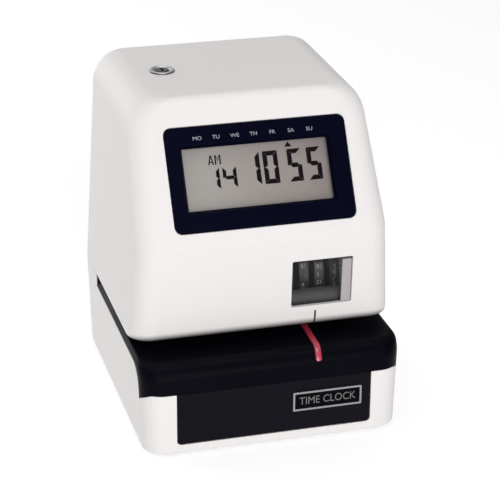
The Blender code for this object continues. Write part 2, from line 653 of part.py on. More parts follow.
WHITE = make_look("warm_white_abs", (0.78, 0.76, 0.73), 0.42)
BLACK = make_look("black_abs", (0.012, 0.013, 0.018), 0.32)
BLACK_MATT = make_look("black_matt_abs", (0.02, 0.02, 0.02), 0.6)
GLOSS_BLACK = make_look("bezel_black", (0.008, 0.009, 0.02), 0.15)
RED = make_look("guide_red", (0.75, 0.05, 0.07), 0.4)
SILVER = make_look("plate_silver", (0.6, 0.6, 0.6), 0.35, metallic=0.8)
STEEL = make_look("zinc_steel", (0.55, 0.56, 0.56), 0.35, metallic=1.0)
STEEL_DARK = make_look("dark_steel", (0.18, 0.18, 0.19), 0.45, metallic=0.9)
BRASS = make_look("type_brass", (0.65, 0.5, 0.25), 0.35, metallic=1.0)
CHROME = make_look("lock_chrome", (0.75, 0.75, 0.76), 0.15, metallic=1.0)
NYLON = make_look("nylon", (0.8, 0.79, 0.74), 0.5)
RUBBER = make_look("black_rubber", (0.03, 0.03, 0.03), 0.85)
AMBER = make_look("coil_tape", (0.55, 0.36, 0.08), 0.5)
BOARD = make_look("circuit_board", (0.03, 0.2, 0.09), 0.45)
LCD_GREY = make_look("lcd_grey", (0.38, 0.4, 0.36), 0.25)
BUTTON_GREY = make_look("button_grey", (0.25, 0.25, 0.26), 0.5)
SLEEVE = make_look("battery_sleeve", (0.1, 0.2, 0.5), 0.4)
RIBBON = make_look("inked_ribbon", (0.02, 0.02, 0.06), 0.8)
SMOKE = make_look("smoked_window", (0.05, 0.05, 0.055), 0.1, alpha=0.5)
CLEAR = make_look("clear_lens", (0.9, 0.92, 0.92), 0.05, alpha=0.25)
LIGHT_GREY = make_look("window_grey", (0.5, 0.49, 0.48), 0.45)

build_base_case()
build_table()
build_front()
build_guide_strip()
build_paper_stop()
build_underside()
build_power()
build_hammer()
build_chassis()
build_display_bracket()
build_boards()
build_print_frame()
build_wheels()
build_motor()
build_ribbon()
build_card_lever()
pivot("cover_axis", (0, 0, SEAM), build_head_cover())
build_display()
build_lock()
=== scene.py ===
"""Looks of an electronic punch time clock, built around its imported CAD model.

Lengths are millimetres in the model's frame and the helpers turn them into Blender's metres.
+X is the clock's right as seen from the front, -Y is its front and +Z is up.
"""

import math

import bmesh
import bpy
from mathutils import Matrix, Vector


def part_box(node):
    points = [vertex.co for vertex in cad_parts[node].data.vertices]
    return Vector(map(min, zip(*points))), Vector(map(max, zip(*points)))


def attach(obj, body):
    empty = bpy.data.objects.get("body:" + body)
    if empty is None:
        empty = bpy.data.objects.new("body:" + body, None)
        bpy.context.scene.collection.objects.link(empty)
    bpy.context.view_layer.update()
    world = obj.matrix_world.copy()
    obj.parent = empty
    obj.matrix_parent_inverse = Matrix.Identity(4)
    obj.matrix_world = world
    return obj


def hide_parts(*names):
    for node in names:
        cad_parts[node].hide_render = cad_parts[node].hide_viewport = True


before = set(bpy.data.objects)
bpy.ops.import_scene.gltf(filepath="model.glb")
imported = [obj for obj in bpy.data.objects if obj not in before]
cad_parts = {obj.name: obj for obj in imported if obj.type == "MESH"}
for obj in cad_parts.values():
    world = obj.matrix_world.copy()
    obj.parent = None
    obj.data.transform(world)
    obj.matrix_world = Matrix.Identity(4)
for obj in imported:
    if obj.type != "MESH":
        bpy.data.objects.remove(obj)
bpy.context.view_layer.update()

MM = 0.001
GAP = 0.3  # left between pieces that touch
FAR = 90.0  # clear of the clock, where cutters end

# Outside of the clock, as in the CAD
HALF_WIDTH = 75.0  # widest, where head and base meet
FRONT, BACK = -78.0, 79.1
BASE_BOTTOM, BASE_TOP = 2.0, 58.7
SEAM = 59.0
HEAD_TOP = 188.0
FRONT_CORNER, BACK_CORNER = 12.6, 4.0
SKIN = 2.5
HEAD_DRAFT, BASE_DRAFT = -0.060, 0.030
LIP_Y = -55.4
LIP_CURL = 6.5  # radius of the head's rolled front lip
CREASE_Y, CREASE_Z = -58.6, 116.4
CREASE_RADIUS = 12.0
TOP_EDGE_Y = -17.0
TOP_RADIUS, BACK_RADIUS = 6.0, 2.6
SHOULDER = 18.5
TABLE_TOP, TABLE_END = 54.0, 47.7
NOSE_RADIUS, NOSE_SIDE_RADIUS = 10.0, 3.0
NOSE_BOTTOM, NOSE_DIP = 38.3, 32.4  # in front, and behind the rounded front corners
CHEEK_FRONT, CHEEK_TOP, CHEEK_RADIUS = -64.5, 50.2, 12.0
PANEL_HALF, PANEL_BOTTOM = 56.0, 6.9
SLOPE = math.atan2(TOP_EDGE_Y - CREASE_Y, HEAD_TOP - CREASE_Z)
LEAN = math.atan2(CREASE_Y - LIP_Y, CREASE_Z - SEAM)
DISPLAY_X = 1.4  # middle of the display
BEZEL_HALF, BEZEL_LOW, BEZEL_HIGH, BEZEL_CORNER = 51.3, 7.6, 65.7, 4.0
SCREEN_LEFT, SCREEN_RIGHT, SCREEN_LOW, SCREEN_HIGH = -42.1, 40.3, 19.5, 54.0
WINDOW_LEFT, WINDOW_RIGHT, WINDOW_LOW, WINDOW_HIGH = 15.2, 50.2, 72.4, 100.8
WINDOW_SPLIT = 44.3  # smoked pane to the left of it, light filler to the right
HAMMER_HOLE = (13, 51, -28, -7)  # in the table: left, right, front, back
GUIDE_X, GUIDE_DRIFT, GUIDE_BACK = 27.3, 2.1, -30.0
MARK_X, MARK_TOP = 29.2, 69.4  # index mark on the lip
LOCK_X, LOCK_Y = -37.5, 29.0
WHEEL_Y, WHEEL_Z, WHEEL_RADIUS = -18.0, 79.0, 18.0

# Camera, where the picture was taken from
CAMERA_AZIMUTH, CAMERA_ELEVATION, CAMERA_ROLL = -15.64, 23.54, 0.36
CAMERA_TARGET = (6.8, 0.0, 84.84)
CAMERA_DISTANCE = 1106.0
CAMERA_LENS = 137.4

# Studio: name, place, size in metres and power in watts of each lamp
LAMPS = (("front", (-120, -1384, 650), 0.9, 12.4), ("left", (-857, 1224, 230), 1.4, 14.0),
         ("top", (0, 60, 1590), 0.9, 5.5))
LAMPS_AIM = (0, 0, 90)
FLOOR_REACH, FLOOR_CORNER, FLOOR_THICK = 2500, 600, 6


# -------- looks

def add_node(tree, kind, inputs=None, **settings):
    """Add a shader node; an input is a value or another node's socket."""
    node = tree.nodes.new("ShaderNode" + kind)
    for name, value in settings.items():
        setattr(node, name, value)
    for socket, value in (inputs or {}).items():
        if isinstance(value, bpy.types.NodeSocket):
            tree.links.new(value, node.inputs[socket])
        else:
            node.inputs[socket].default_value = value
    return node


def calculate(tree, operation, first, second=0.0):
    return add_node(tree, "Math", {0: first, 1: second}, operation=operation).outputs["Value"]


def ramp(tree, value, start, end, low, high):
    """Turn a value between start and end into one between low and high."""
    return add_node(tree, "MapRange", {"Value": value, "From Min": start, "From Max": end,
                                       "To Min": low, "To Max": high}).outputs["Result"]


class Look:
    """Principled material: soft blotches of colour, uneven gloss and a fine grain in the bump.

    Colour varies by the share spread and roughness by patchy. Grain and blotch are the scales of
    their noises, stretch scales their coordinates, and relief is the grain's height.
    """

    def __init__(self, name, colour, spread=0.05, roughness=0.4, patchy=0.06, grain=2200,
                 relief=0.004, blotch=30, stretch=(1, 1, 1), metallic=0.0, specular=0.5,
                 **sockets):
        self.material = bpy.data.materials.new(name)
        self.material.use_nodes = True
        self.tree = self.material.node_tree
        self.shader = self.tree.nodes["Principled BSDF"]
        sockets = {"Metallic": metallic, "Specular IOR Level": specular, **sockets}
        for socket, value in sockets.items():
            self.shader.inputs[socket.replace("_", " ")].default_value = value
        place = self.add("TexCoord").outputs["Object"]
        self.place = self.add("Mapping", {"Vector": place, "Scale": stretch}).outputs["Vector"]
        patches = self.noise(blotch, 4)
        self.colour = self.mix(patches, [c * (1 - spread) for c in colour],
                               [c * (1 + spread) for c in colour])
        self.normal = None
        self.emboss(self.noise(grain, 2), relief)
        self.tree.links.new(self.spread(patches, roughness - patchy, roughness + patchy),
                            self.shader.inputs["Roughness"])
        self.tree.links.new(self.colour, self.shader.inputs["Base Color"])

    def add(self, kind, inputs=None, **settings):
        return add_node(self.tree, kind, inputs, **settings)

    def noise(self, scale, detail):
        return self.add("TexNoise", {"Vector": self.place, "Scale": scale,
                                     "Detail": detail}).outputs["Fac"]

    def spread(self, factor, low, high, start=0.3, end=0.7):
        return ramp(self.tree, factor, start, end, low, high)

    def mix(self, factor, first, second):
        """Blend two colours; each is three numbers or another node's socket."""
        node = self.add("Mix", data_type="RGBA")
        sockets = {socket.name: socket for socket in node.inputs if socket.type == "RGBA"}
        self.tree.links.new(factor, node.inputs["Factor"])
        for name, value in (("A", first), ("B", second)):
            if isinstance(value, bpy.types.NodeSocket):
                self.tree.links.new(value, sockets[name])
            else:
                sockets[name].default_value = (*value, 1.0)
        return [socket for socket in node.outputs if socket.type == "RGBA"][0]

    def emboss(self, height, relief):
        """Add a height, relief millimetres deep, to the bump."""
        inputs = {"Height": height, "Distance": relief * MM, "Strength": 1.0}
        if self.normal:
            inputs["Normal"] = self.normal
        self.normal = self.add("Bump", inputs).outputs["Normal"]
        self.tree.links.new(self.normal, self.shader.inputs["Normal"])

    def paint(self, factor, colour, relief=0.0):
        """Lay a colour over the look where factor is 1, standing relief millimetres proud."""
        self.colour = self.mix(factor, self.colour, colour)
        self.tree.links.new(self.colour, self.shader.inputs["Base Color"])
        if relief:
            self.emboss(factor, relief)

    def facing_down(self, start, end):
        """How far the surface faces the ground, as a factor."""
        up = self.add("SeparateXYZ", {"Vector": self.add("NewGeometry").outputs["Normal"]})
        return self.spread(up.outputs["Z"], 0.0, 1.0, -start, -end)

    def along(self, axis):
        return self.add("SeparateXYZ", {"Vector": self.place}).outputs[axis]

    def near_height(self, height, reach):
        """How close the point is to a height, within reach, as a factor."""
        apart = calculate(self.tree, "SUBTRACT", self.along("Z"), height * MM)
        apart = calculate(self.tree, "ABSOLUTE", apart)
        return self.spread(apart, 1.0, 0.0, reach * MM * 0.8, reach * MM)

    def both(self, first, second):
        return calculate(self.tree, "MULTIPLY", first, second)

    def across(self, start, end):
        """How far the point lies from start to end along X, as a factor."""
        return self.spread(self.along("X"), 0.0, 1.0, start * MM, end * MM)

    def bands(self, pitch, direction="X", low=0.3, high=0.7):
        """Soft stripes, pitch millimetres apart, as a factor."""
        wave = self.add("TexWave", {"Vector": self.place, "Scale": 2 * math.pi / 20 / (pitch * MM)},
                        bands_direction=direction)
        return self.spread(wave.outputs["Fac"], 0.0, 1.0, low, high)

    def specks(self, pitch, size):
        """Round dots about pitch millimetres apart, as a factor."""
        cells = self.add("TexVoronoi", {"Vector": self.place, "Scale": 1 / (pitch * MM)})
        return self.spread(cells.outputs["Distance"], 1.0, 0.0, size * 0.8, size)


WHITE = Look("warm_white_abs", (0.705, 0.684, 0.678), 0.018, 0.5, 0.05, 1800, 0.006, 14,
             specular=0.06)
# Painted shade: the head's lower rim curls in over the throat, and where it faces down it is
# painted dark
WHITE.paint(WHITE.both(WHITE.facing_down(0.1, 0.75), WHITE.near_height(SEAM + 3.0, 9.0)),
            (0.11, 0.10, 0.095))
BLACK = Look("black_abs", (0.0024, 0.0021, 0.0044), 0.3, 0.34, 0.08, 1500, 0.008, 22,
             specular=0.025)
PANEL_BLACK = Look("black_textured_panel", (0.0045, 0.0036, 0.0066), 0.3, 0.5, 0.08, 1300, 0.02,
                   30, specular=0.06)
MATT_BLACK = Look("black_matt_abs", (0.011, 0.011, 0.012), 0.2, 0.6, 0.08, 1500, 0.01)
BEZEL_BLACK = Look("navy_gloss", (0.0020, 0.0022, 0.0090), 0.3, 0.16, 0.05, 900, 0.001, 18,
                   specular=0.015)
RED = Look("guide_red", (0.42, 0.025, 0.055), 0.15, 0.36, 0.06, 1200, 0.008, 60, specular=1.0)
SILVER = Look("plate_silver", (0.33, 0.33, 0.335), 0.1, 0.32, 0.08, 2500, 0.003, 60, (1, 14, 14),
              metallic=0.85)
PLATE_WORDS = Look("plate_words", (0.17, 0.165, 0.16), 0.15, 0.4, 0.08, 2500, 0.003, 90,
                   metallic=0.7)
STEEL = Look("zinc_steel", (0.52, 0.53, 0.53), 0.09, 0.4, 0.045, 1600, 0.003, 60, (1, 1, 3),
             metallic=1.0)
STEEL.paint(STEEL.spread(STEEL.noise(9, 5), 0.0, 0.3, 0.55, 0.75), (0.44, 0.42, 0.36))
SHAFT = Look("ground_steel", (0.58, 0.58, 0.6), 0.08, 0.22, 0.06, 900, 0.002, 80, (12, 1, 1),
             metallic=1.0)
MOTOR_CAN = Look("drawn_can", (0.46, 0.46, 0.47), 0.1, 0.3, 0.08, 1400, 0.003, 60, (9, 1, 1),
                 metallic=1.0)
DARK_STEEL = Look("phosphated_steel", (0.16, 0.16, 0.17), 0.25, 0.48, 0.1, 1500, 0.008, 70,
                  metallic=0.9)
CORE = Look("core_laminations", (0.15, 0.15, 0.16), 0.2, 0.45, 0.1, 1200, 0.005, 60, metallic=0.9)
CORE.paint(CORE.bands(0.5, "Y", 0.75, 0.95), (0.03, 0.028, 0.026), -0.08)
CHROME = Look("lock_chrome", (0.58, 0.57, 0.58), 0.06, 0.42, 0.06, 1500, 0.002, 200, metallic=1.0)
# Painted shade: the flange's sides and underside, which face away from the top, are painted dark
CHROME.paint(CHROME.facing_down(-0.8, -0.3), (0.04, 0.04, 0.042))
PLUG = Look("lock_plug", (0.05, 0.05, 0.055), 0.15, 0.2, 0.06, 1500, 0.002, 200, metallic=0.6,
            specular=0.3)
BRASS = Look("pinion_brass", (0.62, 0.46, 0.2), 0.15, 0.3, 0.08, 1500, 0.003, 120, metallic=1.0)
TYPE_STEEL = Look("type_steel", (0.17, 0.165, 0.165), 0.25, 0.38, 0.1, 1500, 0.004, 130,
                  metallic=0.8)
# Painted highlight: the faces are near white so they show as glints of the type; the dark patches
# laid over them are ink
TYPE_FACE = Look("type_face", (0.95, 0.93, 0.88), 0.05, 0.5, 0.08, 1500, 0.003, 200)
TYPE_FACE.paint(TYPE_FACE.spread(TYPE_FACE.noise(210, 1), 0.0, 1.0, 0.44, 0.54),
                (0.06, 0.06, 0.065))
NYLON = Look("natural_nylon", (0.72, 0.7, 0.62), 0.05, 0.45, 0.06, 1800, 0.006, 60,
             Subsurface_Weight=0.1)
RUBBER = Look("black_rubber", (0.018, 0.018, 0.018), 0.3, 0.85, 0.08, 1100, 0.03, 60, specular=0.3)
TAPE = Look("winding_tape", (0.5, 0.31, 0.05), 0.1, 0.35, 0.1, 1300, 0.004, 50)
TAPE.paint(TAPE.bands(0.9, "Z", 0.6, 0.95), (0.3, 0.16, 0.02), 0.06)
BOARD = Look("solder_mask", (0.018, 0.13, 0.05), 0.15, 0.3, 0.08, 2600, 0.002, 40)
TRACES = BOARD.add("TexBrick", {"Vector": BOARD.place, "Scale": 60.0, "Mortar Size": 0.028,
                                "Color1": (0, 0, 0, 1), "Color2": (0, 0, 0, 1),
                                "Mortar": (1, 1, 1, 1)}, offset=0.31, squash=0.7)
BOARD.paint(TRACES.outputs["Color"], (0.05, 0.24, 0.1), 0.03)
BOARD.paint(BOARD.specks(3.6, 0.16), (0.6, 0.56, 0.42), 0.03)
SLEEVE = Look("battery_sleeve", (0.05, 0.13, 0.42), 0.12, 0.25, 0.08, 300, 0.03, 60)
CHIP = Look("chip_epoxy", (0.02, 0.02, 0.022), 0.2, 0.55, 0.06, 3000, 0.006, 80)
PIN = Look("tinned_pin", (0.66, 0.66, 0.65), 0.1, 0.3, 0.08, 2500, 0.003, 120, metallic=1.0)
HEADER = Look("white_header", (0.66, 0.63, 0.54), 0.06, 0.45, 0.06, 1800, 0.005, 60)
BUTTON = Look("grey_button", (0.16, 0.16, 0.17), 0.08, 0.45, 0.06, 1700, 0.008, 60)
RIBBON = Look("inked_ribbon", (0.010, 0.010, 0.024), 0.3, 0.75, 0.08, 1500, 0.004, 90)
RIBBON.paint(RIBBON.bands(0.32, "X"), (0.022, 0.022, 0.045), 0.05)
RIBBON.paint(RIBBON.bands(0.32, "Y"), (0.008, 0.008, 0.018), 0.05)
SMOKE = Look("smoked_acrylic", (0.018, 0.017, 0.018), 0.1, 0.08, 0.04, 200, 0.002, 40,
             Alpha=0.2, specular=0.3)
CLEAR = Look("clear_acrylic", (0.02, 0.02, 0.022), 0.05, 0.05, 0.03, 150, 0.002, 40, Alpha=0.05,
             specular=0.15)
LCD = Look("lcd_reflector", (0.375, 0.350, 0.330), 0.05, 0.42, 0.06, 3200, 0.004, 16, specular=0.2)
# Painted shade: the reflector is painted darker towards its right end
LCD.paint(LCD.across(-25, 50), (0.265, 0.225, 0.215))
SEGMENT = Look("lcd_segment", (0.004, 0.002, 0.004), 0.2, 0.4, 0.06, 2500, 0.002, 60, specular=0.05)
LIGHT_GREY = Look("window_grey", (0.37, 0.34, 0.345), 0.04, 0.42, 0.06, 1700, 0.006, 60)
PRINT_WHITE = Look("printed_white", (0.30, 0.30, 0.34), 0.1, 0.5, 0.06, 2600, 0.004, 150)
PRINT_BLACK = Look("printed_black", (0.03, 0.02, 0.025), 0.2, 0.5, 0.06, 2600, 0.004, 150)
FLOOR = Look("pale_floor", (0.45, 0.45, 0.45), 0.006, 0.7, 0.05, 400, 0.02, 3,
             specular=0.05, Emission_Color=(1, 1, 1, 1), Emission_Strength=0.62)


# -------- outlines

def rounded(corners, steps=6):
    """Outline points of a polygon whose (u, v, radius) corners are rounded."""
    points = []
    count = len(corners)
    for i, (u, v, radius) in enumerate(corners):
        here = Vector((u, v))
        if radius <= 0:
            points.append(here)
            continue
        back = (Vector(corners[i - 1][:2]) - here).normalized()
        ahead = (Vector(corners[(i + 1) % count][:2]) - here).normalized()
        half = back.angle(ahead) / 2
        centre = here + (back + ahead).normalized() * radius / math.sin(half)
        first = here + back * radius / math.tan(half) - centre
        last = here + ahead * radius / math.tan(half) - centre
        sweep = math.atan2(first.x * last.y - first.y * last.x, first.dot(last))
        for step in range(steps + 1):
            points.append(centre + Matrix.Rotation(sweep * step / steps, 2) @ first)
    return points


def rectangle(left, right, low, high, radius=0.0, steps=5):
    return rounded([(left, low, radius), (right, low, radius), (right, high, radius),
                    (left, high, radius)], steps)


def moved_out(outline, distance):
    """A counter-clockwise outline moved outwards by distance."""
    moved = []
    for i, here in enumerate(outline):
        before = (here - outline[i - 1]).normalized()
        after = (outline[(i + 1) % len(outline)] - here).normalized()
        out = Vector((before.y + after.y, -before.x - after.x)).normalized()
        reach = distance / max(0.3, out.dot(Vector((before.y, -before.x))))
        moved.append(here + out * reach)
    return moved


def circle(radius, steps=32):
    return [Vector((radius * math.cos(2 * math.pi * i / steps),
                    radius * math.sin(2 * math.pi * i / steps))) for i in range(steps)]


def facing(place, lean=0.0):
    """Turns (across, up, out) of a front surface at place, leaning back by lean, to the model."""
    axes = Matrix(((1, 0, 0), (0, math.sin(lean), -math.cos(lean)),
                   (0, math.cos(lean), math.sin(lean)))).to_4x4()
    return Matrix.Translation(place) @ axes


def facing_up(x, y, z):
    return Matrix.Translation((x, y, z))


SLANT = facing((DISPLAY_X, CREASE_Y, CREASE_Z), SLOPE)  # slanted front, up from the crease
LIP = facing((0, LIP_Y, SEAM), LEAN)  # on the lower front of the head
FACE = facing((0, FRONT, 0))  # on the base's front
# On the base's back, across running to the clock's left
REAR = facing_up(0, BACK, 0) @ Matrix.Rotation(math.pi, 4, "Z") @ facing((0, 0, 0))
UPRIGHT = Matrix.Identity(4)
LYING = Matrix(((0, 0, 1, 0), (1, 0, 0, 0), (0, 1, 0, 0), (0, 0, 0, 1)))  # (y, z, x)


def at(place, x, y, z=0.0):
    return place @ facing_up(x, y, z)


def box_of(node):
    """A CAD node's lowest and highest corners."""
    low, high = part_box(node)
    return low / MM, high / MM


def middle_of(node):
    low, high = box_of(node)
    return (low + high) / 2


# -------- meshes

def new_object(name, data):
    item = bpy.data.objects.new(name, data)
    bpy.context.scene.collection.objects.link(item)
    return item


def as_object(name, bm):
    mesh = bpy.data.meshes.new(name)
    bm.to_mesh(mesh)
    bm.free()
    return new_object(name, mesh)


def final_mesh(item):
    """An object's mesh with its modifiers or text worked out."""
    graph = bpy.context.evaluated_depsgraph_get()
    return bpy.data.meshes.new_from_object(item.evaluated_get(graph))


def mesh_object(name, bm, place=UPRIGHT):
    """A bmesh drawn in millimetres in its own place, as an object in metres."""
    bmesh.ops.transform(bm, matrix=Matrix.Scale(MM, 4) @ place, verts=bm.verts)
    bmesh.ops.recalc_face_normals(bm, faces=bm.faces)
    return as_object(name, bm)


def loft(name, rings, place=UPRIGHT, closed=False):
    """Skin over rings of equal length; closed joins the last ring to the first."""
    bm = bmesh.new()
    loops = [[bm.verts.new(point) for point in ring] for ring in rings]
    count = len(rings[0])
    pairs = list(zip(loops, loops[1:])) + ([(loops[-1], loops[0])] if closed else [])
    for low, high in pairs:
        for i in range(count):
            bm.faces.new((low[i], low[(i + 1) % count], high[(i + 1) % count], high[i]))
    if not closed:
        bm.faces.new(loops[0])
        bm.faces.new(loops[-1])
    return mesh_object(name, bm, place)


def rim_steps(radius, steps=3):
    """(inset, drop) pairs round a quarter circle, from the side to the top."""
    if not radius:
        return [(0.0, 0.0)]
    return [(radius * (1 - math.cos(math.pi / 2 * i / steps)),
             radius * (1 - math.sin(math.pi / 2 * i / steps))) for i in range(steps + 1)]


def ring_at(outline, grow, height):
    """An outline moved outwards by grow, at a height."""
    return [(p.x, p.y, height) for p in moved_out(outline, grow)]


def slab(name, outline, low, high, place=UPRIGHT, rim=0.0, foot=0.0):
    """An outline thickened from low to high, with a rounded rim at its top and foot."""
    rings = [ring_at(outline, -inset, low + drop) for inset, drop in reversed(rim_steps(foot))]
    rings += [ring_at(outline, -inset, high - drop) for inset, drop in rim_steps(rim)]
    return loft(name, rings, place)


def mouth(name, outline, deep, flare, place=UPRIGHT):
    """A cutter for a hole whose mouth, at height 0, is rounded by flare."""
    rings = [ring_at(outline, 0, -deep)]
    rings += [ring_at(outline, grow, -drop) for grow, drop in rim_steps(flare)]
    rings.append(ring_at(outline, flare, 2.0))
    return loft(name, rings, place)


def frame_ring(name, outer, inner, low, high, place=UPRIGHT, rim=0.3, slope=0.0):
    """A frame between two outlines; its inner edge slopes in by slope to the inner outline."""
    rings = [ring_at(outer, 0, low)]
    rings += [ring_at(outer, -inset, high - drop) for inset, drop in rim_steps(rim)]
    edge = moved_out(inner, slope)
    rings += [ring_at(edge, inset, high - drop) for inset, drop in reversed(rim_steps(rim))]
    if slope:
        rings.append(ring_at(inner, 0, low + rim))
    rings.append(ring_at(inner, 0, low))
    return loft(name, rings, place, closed=True)


def turned(name, profile, place=UPRIGHT, sides=32, closed=True):
    """Turned about the local Z axis; profile is (radius, height), closed or capped at its ends."""
    rings = [[(p.x, p.y, height) for p in circle(radius, sides)] for radius, height in profile]
    return loft(name, rings, place, closed)


def settle(item):
    """Apply an object's modifiers to its mesh."""
    mesh = final_mesh(item)
    item.modifiers.clear()
    item.data = mesh
    return item


def combine(target, *tools, operation="DIFFERENCE"):
    for tool in tools:
        step = target.modifiers.new("combine", "BOOLEAN")
        step.object = tool
        step.operation = operation
        step.solver = "EXACT"
        settle(target)
        bpy.data.objects.remove(tool)


def soften(item, width, segments=2, angle=38.0):
    """Round the edges sharper than angle by width."""
    weld = item.modifiers.new("weld", "WELD")
    weld.merge_threshold = 0.002 * MM
    step = item.modifiers.new("bevel", "BEVEL")
    step.width = width * MM
    step.segments = segments
    step.limit_method = "ANGLE"
    step.angle_limit = math.radians(angle)


def shade(item, angle=32.0):
    item.data.shade_smooth()
    item.data.set_sharp_from_angle(angle=math.radians(angle))
    weigh = item.modifiers.new("weigh", "WEIGHTED_NORMAL")
    weigh.keep_sharp = True
    weigh.weight = 80


def merge(name, items):
    """Join several objects into one mesh."""
    bm = bmesh.new()
    for item in items:
        bm.from_mesh(item.data)
        bpy.data.objects.remove(item)
    return as_object(name, bm)


def piece(item, look, body, slot, *replaced, angle=32.0):
    """Finish an object as a piece: its look, its body and what it replaces; slot is not used."""
    item.name = item.data.name = item.name.split(".")[0]
    shade(settle(item), angle)
    item.data.materials.clear()
    item.data.materials.append(look.material)
    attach(item, body)
    if replaced:
        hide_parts(*replaced)


def lettering(name, text, size, high, place, squeeze=1.0):
    """Flat raised text, centred on place, with capitals about 0.7 of size tall."""
    curve = bpy.data.curves.new(name, "FONT")
    curve.body = text
    curve.size = size
    curve.align_x = "CENTER"
    curve.align_y = "CENTER"
    curve.resolution_u = 3
    curve.extrude = high / 2
    holder = new_object(name, curve)
    bpy.context.view_layer.update()
    mesh = final_mesh(holder)
    bpy.data.objects.remove(holder)
    bm = bmesh.new()
    bm.from_mesh(mesh)
    bmesh.ops.remove_doubles(bm, verts=bm.verts, dist=0.001)
    stretch = Matrix.Diagonal((squeeze, 1, 1, 1))
    bmesh.ops.transform(bm, matrix=facing_up(0, 0, high / 2) @ stretch, verts=bm.verts)
    return mesh_object(name, bm, place)


# -------- white mouldings

def plan_ring(half, front, back, height, corner=FRONT_CORNER, rear=BACK_CORNER,
              front_height=None):
    """Counter-clockwise rounded footprint; its front may lie at a height of its own."""
    rise = 0.0 if front_height is None else front_height - height
    steps = 10
    points = []
    for x, y, radius, start in ((half - corner, front + corner, corner, -90),
                                (half - rear, back - rear, rear, 0),
                                (rear - half, back - rear, rear, 90),
                                (corner - half, front + corner, corner, 180)):
        for step in range(steps + 1):
            turn = math.radians(start + 90 * step / steps)
            share = max(0.0, -math.sin(turn)) ** 2
            points.append((x + radius * math.cos(turn), y + radius * math.sin(turn),
                           height + rise * share))
    return points


def value_at(line, height):
    """The value of a line of (value, height) points at a height."""
    for low, high in zip(line, line[1:]):
        if low[1] <= height <= high[1] and high[1] > low[1]:
            return low[0] + (high[0] - low[0]) * (height - low[1]) / (high[1] - low[1])
    return line[-2][0]


def head_lines(inset):
    """Front, side and back outlines of the head, shrunk by inset, from the seam to the top."""
    top = HEAD_TOP - inset
    crease_z = CREASE_Z - inset * math.tan(SLOPE / 2)
    top_y = CREASE_Y + inset / math.cos(SLOPE) + math.tan(SLOPE) * (top - CREASE_Z)
    half, half_top = HALF_WIDTH - inset, HALF_WIDTH - inset + HEAD_DRAFT * (top - SEAM)
    front = rounded([(LIP_Y + inset, SEAM, 0), (CREASE_Y + inset, crease_z, CREASE_RADIUS),
                     (top_y, top, TOP_RADIUS), (20, top, 0)])
    side = rounded([(half, SEAM, 0), (half_top, top, SHOULDER - inset), (0, top, 0)], 12)
    back = rounded([(BACK - inset, SEAM, 0), (BACK - inset, top, max(0.3, BACK_RADIUS - inset)),
                    (0, top, 0)])
    return front, side, back


def head_rings(inset):
    """Rings of the head from the rolled front lip to the flat top."""
    front, side, back = head_lines(inset)
    corner, rear = FRONT_CORNER - inset, BACK_CORNER - inset
    curl = LIP_CURL - inset
    lip_top = SEAM + LIP_CURL
    lip_front = value_at(front, lip_top)
    rings = []
    steps = 6
    for step in range(steps + 1):
        turn = math.pi / 2 * step / steps
        height = SEAM + LIP_CURL * (1 - math.cos(turn))
        rings.append(plan_ring(value_at(side, height), lip_front + curl * (1 - math.sin(turn)),
                               value_at(back, height), height, corner, rear,
                               front_height=lip_top - curl * math.cos(turn)))
    top = HEAD_TOP - inset
    closest = 0.15
    last = lip_top
    for height in sorted(point[1] for line in (front, side, back) for point in line[:-1]):
        if last + closest < height < top - closest:
            rings.append(plan_ring(value_at(side, height), value_at(front, height),
                                   value_at(back, height), height, corner, rear))
            last = height
    rings.append(plan_ring(side[-2][0], front[-2][0], back[-2][0], top, corner, rear))
    return rings


def make_head_cover():
    shell = loft("head_shell", head_rings(SKIN)[::-1] + head_rings(0.0))
    bezel = mouth("bezel_hole", rectangle(-BEZEL_HALF - GAP, BEZEL_HALF + GAP, BEZEL_LOW - GAP,
                                          BEZEL_HIGH + GAP, BEZEL_CORNER + GAP), 12, 0.5, SLANT)
    window = mouth("window_hole", rectangle(WINDOW_LEFT, WINDOW_RIGHT, WINDOW_LOW - SEAM,
                                            WINDOW_HIGH - SEAM, 0.8), 8, 0.4, LIP)
    lock = mouth("lock_hole", circle(6.6), 12, 0.3, facing_up(LOCK_X, LOCK_Y, HEAD_TOP))
    floor_low, floor_high = box_of("head_floor")
    half, back, below = 62.8, 40, 50  # room for the throat's ceiling, short of the corners
    floor_room = slab("floor_room", rectangle(-half, half, floor_low.y - GAP, back), below,
                      floor_high.z + GAP)
    combine(shell, bezel, window, lock, floor_room)
    piece(shell, WHITE, "cover", "white_abs", "head_cover", angle=30)


def base_half(height):
    return HALF_WIDTH + BASE_DRAFT * (height - SEAM)


def base_rings(inset, low, high, edge):
    """Rings of the base's drafted wall, its outer edges rounded at the foot and the top."""
    rim = rim_steps(edge)
    rings = [(shrink, low + drop) for shrink, drop in reversed(rim)]
    rings += [(shrink, high - drop) for shrink, drop in rim]
    return [plan_ring(base_half(z) - inset - shrink, FRONT + inset + shrink,
                      BACK - inset - shrink, z, FRONT_CORNER - inset, BACK_CORNER - inset)
            for shrink, z in rings]


